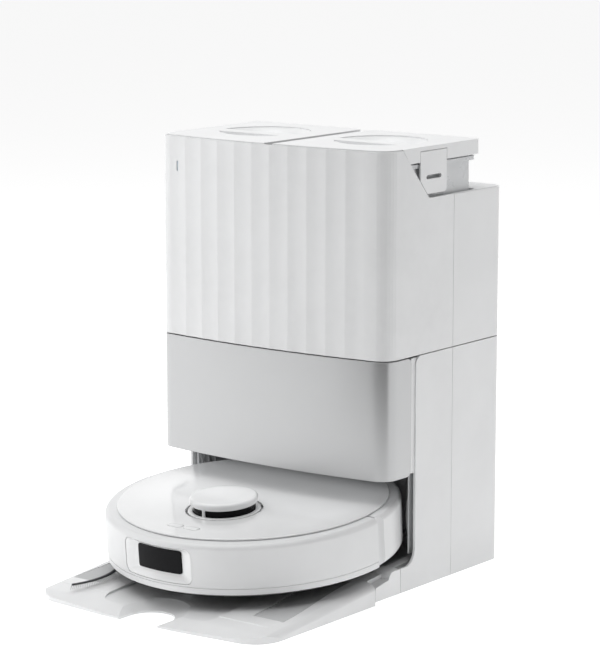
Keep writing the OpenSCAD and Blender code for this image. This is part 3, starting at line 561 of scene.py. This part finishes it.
def make_side_brush():
    """A hub with two curved arms, each with a comb of bristles that trail from it."""
    centre = PARKED.inverted() @ joint_point("side_brush_spin") / MM
    hub = lathe([(0, 4.2), (9.5, 4.2), (12, 4.7), (12.9, 5.8), (12.9, 8.6), (12, 9.8), (5, 10), (5, 20), (0, 20)], 64)
    screw = lathe([(0, 3.5), (2.6, 3.5), (3.3, 3.9), (3.3, 4.4), (0, 4.4)], 32)
    parts, bend = [hub, screw], 70.0
    bristles = []
    for turn in (-98, 82):
        path = [(42 + bend * math.cos(math.radians(a)), -bend - bend * math.sin(math.radians(a)), 5.9)
                for a in (231 + 68 * k / 20 for k in range(21))]
        sizes = [(2.7 - 1.2 * k / 20, 1.7 - 0.5 * k / 20) for k in range(21)]
        parts.append(moved(swept(path, sizes, 10), turn=turn))
        for k in range(30):
            a = 250 + 49 * k / 29
            lean = a + 26
            root = (42 + (bend + 1) * math.cos(math.radians(a)), -bend - (bend + 1) * math.sin(math.radians(a)))
            length = 13 - 0.16 * k + 1.2 * math.sin(5.1 * k)
            tilt = (math.cos(math.radians(lean)), -math.sin(math.radians(lean)))
            strand = [(root[0] + tilt[0] * length * s, root[1] + tilt[1] * length * s, 5.4 - 2.9 * s * s)
                      for s in (0, 0.3, 0.6, 1.0)]
            bristles.append(moved(swept(strand, [(0.42, 0.42), (0.36, 0.36), (0.28, 0.28), (0.14, 0.14)], 5),
                                  turn=turn))
    add_piece("side_brush_arms", *moved(joined(parts), centre.x, centre.y), BRISTLE, "rubber_grey", "side_brush",
              ["side_brush"])
    add_piece("side_brush_bristles", *moved(joined(bristles), centre.x, centre.y), BRISTLE, "rubber_grey",
              "side_brush")


def make_mop(name, side):
    """A microfibre pad: flat on its plate, bulging at its edge, with spiral sewn channels and deep pile below."""
    rng = np.random.default_rng(31 + side)
    centre = PARKED.inverted() @ joint_point(name.split("_")[0] + "_mop_spin") / MM
    around, outer = 216, 61.9
    rings = [circle(r, 7.9, around) for r in (1, 20, 40, 54, 59)]
    rings += [circle(r, h, around) for r, h in ((60.8, 7.4), (61.6, 6.4), (outer, 5.0), (61.8, 3.4), (61.2, 2.1))]
    steps = 40
    pile = rng.normal(0, 1, (steps + 1, around))
    for k in range(steps + 1):
        r = 60.2 - 59.2 * k / steps
        ring = []
        for j in range(around):
            turn = 360 * j / around
            spiral = (turn * side + 1.1 * r) % 60 - 30
            channel = math.exp(-(math.radians(spiral) * r / 1.5) ** 2) * smooth_step((r - 9) / 6)
            seam = math.exp(-((r - 56.5) / 0.9) ** 2) + math.exp(-((r - 10) / 1.0) ** 2)
            height = 1.1 + 1.3 * channel + 1.0 * min(seam, 1) + 0.9 * ((60.2 - r) / 59.2 < 0.03)
            soft = (pile[k, j] + 0.6 * pile[k, j - 1] + 0.6 * pile[k - 1, j]) * 0.16
            a = math.radians(turn)
            ring.append((r * math.cos(a), r * math.sin(a), max(height + soft, 0.45)))
        rings.append(ring)
    pad = add_piece(name + "_cloth", *moved(loft(rings), centre.x, centre.y), FINISH["mop_cloth"], "mop_cloth",
                    name.split("_")[0] + "_mop", [name])


def inflate(obj, pressure, frames, cap):
    """Blows a closed cloth mesh up a little, with no point moving more than cap, and keeps the result."""
    scene = bpy.context.scene
    rest = [v.co.copy() for v in obj.data.vertices]
    cloth = obj.modifiers.new("cloth", "CLOTH")
    cloth.settings.use_pressure = True
    cloth.settings.uniform_pressure_force = pressure
    cloth.settings.effector_weights.gravity = 0
    cloth.settings.quality = 5
    cloth.point_cache.frame_start = 1
    cloth.point_cache.frame_end = frames
    for frame_number in range(1, frames + 1):
        scene.frame_set(frame_number)
    blown = obj.evaluated_get(bpy.context.evaluated_depsgraph_get()).to_mesh()
    blown_points = [v.co.copy() for v in blown.vertices]
    obj.evaluated_get(bpy.context.evaluated_depsgraph_get()).to_mesh_clear()
    obj.modifiers.remove(cloth)
    for vertex, start, end in zip(obj.data.vertices, rest, blown_points):
        step = end - start
        if step.length > cap:
            step *= cap / step.length
        vertex.co = start + step
    scene.frame_set(1)


def make_dust_bag():
    """A gusseted non-woven bag, blown a little out of shape, behind its card collar."""
    low, high = (Vector(p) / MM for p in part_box("dust_bag"))
    port = (0.0, 213.0, 16.0)
    rings = []
    x0, x1, y0, y1 = low.x + 7, high.x - 7, low.y + 6, high.y - 10
    z0, z1 = low.z + 6, high.z - 6
    for k in range(19):
        t = k / 18
        pinch = 1 - abs(2 * t - 1) ** 6
        inset = 16 * (1 - pinch) ** 1.5
        fold = 9 * math.sin(math.pi * t) ** 2
        outline = rounded_outline(x0 + inset + fold, y0 + inset * 0.7, x1 - inset - fold, y1 - inset * 0.7, 14, 6, 8)
        rings.append([(x, y, z0 + (z1 - z0) * t) for x, y in outline])
    bag = add_piece("bag_body", *loft(rings), FINISH["bag_paper"], "bag_paper", "dust_bag", ["dust_bag"],
                    placed=Matrix.Identity(4))
    remesh = bag.modifiers.new("remesh", "REMESH")
    remesh.mode = "VOXEL"
    remesh.voxel_size = 0.0055
    even = bag.evaluated_get(bpy.context.evaluated_depsgraph_get())
    bag.data = bpy.data.meshes.new_from_object(even)
    bag.modifiers.clear()
    smooth_shading(bag.data)
    inflate(bag, 4.0, 16, 0.005)
    rng = np.random.default_rng(7)
    phase = rng.uniform(0, 2 * math.pi, 12)
    for vertex in bag.data.vertices:
        x, y, z = (c / MM for c in vertex.co)
        crease = sum(math.sin((x * math.cos(p) + z * math.sin(p)) / (5 + 1.6 * i) + p)
                     for i, p in enumerate(phase)) / len(phase)
        vertex.co += Vector((0, 1, 0)) * (0.0016 * crease * (1 if y < (y0 + y1) / 2 else -1))
    bag.modifiers.new("even", "SUBSURF").levels = 1
    bag.modifiers["even"].render_levels = 1
    paint(bag, FINISH["bag_paper"])
    sheet_y = (high.y - 4.0, high.y)
    outer = rounded_outline(-40, port[1] - 37, 40, port[1] + 37, 5, 8, 6)
    n = len(outer)
    hole = [(port[0] + port[2] * math.cos(math.atan2(z - port[1], x)), port[1] + port[2] * math.sin(math.atan2(z - port[1], x)))
            for x, z in outer]
    rings = []
    for outline, y in ((outer, sheet_y[0]), (outer, sheet_y[0] + 1.6), (hole, sheet_y[0] + 1.6), (hole, sheet_y[0])):
        rings.append([(x, y, z) for x, z in outline])
    lip = [[(port[0] + r * math.cos(2 * math.pi * k / n), y, port[1] + r * math.sin(2 * math.pi * k / n))
            for k in range(n)] for r, y in ((17.5, sheet_y[0] + 1.2), (19.2, sheet_y[0] + 2.6), (17.6, sheet_y[1] - 0.2),
                                            (16.1, sheet_y[0] + 2.6))]
    add_piece("bag_collar", *loft(rings, looped=True), CARD, "bag_paper", "dust_bag", placed=Matrix.Identity(4))
    add_piece("bag_seal", *loft(lip, looped=True), FINISH["rubber_grey"], "rubber_grey", "dust_bag",
              placed=Matrix.Identity(4))


make_sensor_surround()
make_turret()
make_buttons()
make_dish("clean_lid", (88, 101))
make_dish("dirty_lid", (-84, 101))
make_tyre("left_tyre", -1)
make_tyre("right_tyre", 1)
make_roller()
make_side_brush()
make_mop("left_mop_pad", -1)
make_mop("right_mop_pad", 1)
make_dust_bag()


# ---- stage ----

def make_stage():
    mesh = bpy.data.meshes.new("floor")
    side = 40
    mesh.from_pydata([(-side, -side, 0), (side, -side, 0), (side, side, 0), (-side, side, 0)], [], [(0, 1, 2, 3)])
    floor = bpy.data.objects.new("floor", mesh)
    bpy.context.scene.collection.objects.link(floor)
    n = Nodes("floor_white")
    n.shader.inputs["Base Color"].default_value = (0.93, 0.93, 0.93, 1)
    n.shader.inputs["Roughness"].default_value = 0.9
    n.shader.inputs["Specular IOR Level"].default_value = 0.1
    n.shader.inputs["Emission Color"].default_value = (1, 1, 1, 1)
    n.shader.inputs["Emission Strength"].default_value = 0.58
    paint(floor, n.material)


def make_flag():
    """A black studio card in front of the dock that keeps light off it. It shows only in reflections."""
    near, low, high, steps = 0.95, 0.05, 0.75, 16
    points = []
    for k in range(steps + 1):
        a = math.radians(-14 + 90 * k / steps)
        points += [(near * math.sin(a), -near * math.cos(a), h) for h in (low, high)]
    mesh = bpy.data.meshes.new("flag")
    mesh.from_pydata(points, [], [(2 * k, 2 * k + 2, 2 * k + 3, 2 * k + 1) for k in range(steps)])
    flag = bpy.data.objects.new("flag", mesh)
    bpy.context.scene.collection.objects.link(flag)
    n = Nodes("flag_black")
    n.shader.inputs["Base Color"].default_value = (0.05, 0.05, 0.05, 1)
    n.shader.inputs["Roughness"].default_value = 0.9
    paint(flag, n.material)
    flag.visible_camera = False


def softbox(name, azimuth, height, distance, size, power, roll=0.0):
    """An area light that looks at the middle of the dock. Azimuth 0 is in front and 90 is on the right."""
    a = math.radians(azimuth)
    data = bpy.data.lights.new(name, "AREA")
    data.shape = "RECTANGLE"
    data.size, data.size_y = size
    data.energy = power
    light = bpy.data.objects.new(name, data)
    light.location = (distance * math.sin(a), -distance * math.cos(a), height)
    aim = Vector((0, 0, 0.25)) - light.location
    light.rotation_mode = "QUATERNION"
    light.rotation_quaternion = aim.to_track_quat("-Z", "Y") @ Matrix.Rotation(roll, 3, "Z").to_quaternion()
    light.visible_camera = False
    bpy.context.scene.collection.objects.link(light)


def make_fill():
    """A faint strip under the dust cover that lifts the shade on the robot's top."""
    data = bpy.data.lights.new("fill", "AREA")
    data.shape = "RECTANGLE"
    data.size, data.size_y = 0.30, 0.16
    data.energy = 0.055
    light = bpy.data.objects.new("fill", data)
    light.location = (0, -0.02, 0.139)
    light.visible_camera = False
    light.visible_glossy = False
    bpy.context.scene.collection.objects.link(light)


def make_light():
    world = bpy.data.worlds.new("studio")
    world.use_nodes = True
    background = world.node_tree.nodes["Background"]
    background.inputs["Color"].default_value = (1, 1, 1, 1)
    background.inputs["Strength"].default_value = 0.38
    bpy.context.scene.world = world
    softbox("key_left", -62, 0.9, 1.7, (1.2, 1.6), 7)
    softbox("side_right", 128, 1.1, 2.6, (1.4, 2.0), 4)
    softbox("top", -30, 2.4, 0.5, (2.6, 2.6), 44)
    softbox("backdrop", 217, 0.75, 2.4, (3.2, 1.6), 9)
    bpy.context.scene.view_settings.view_transform = "Standard"
    bpy.context.scene.view_settings.look = "None"


make_stage()
make_flag()
make_fill()
make_light()
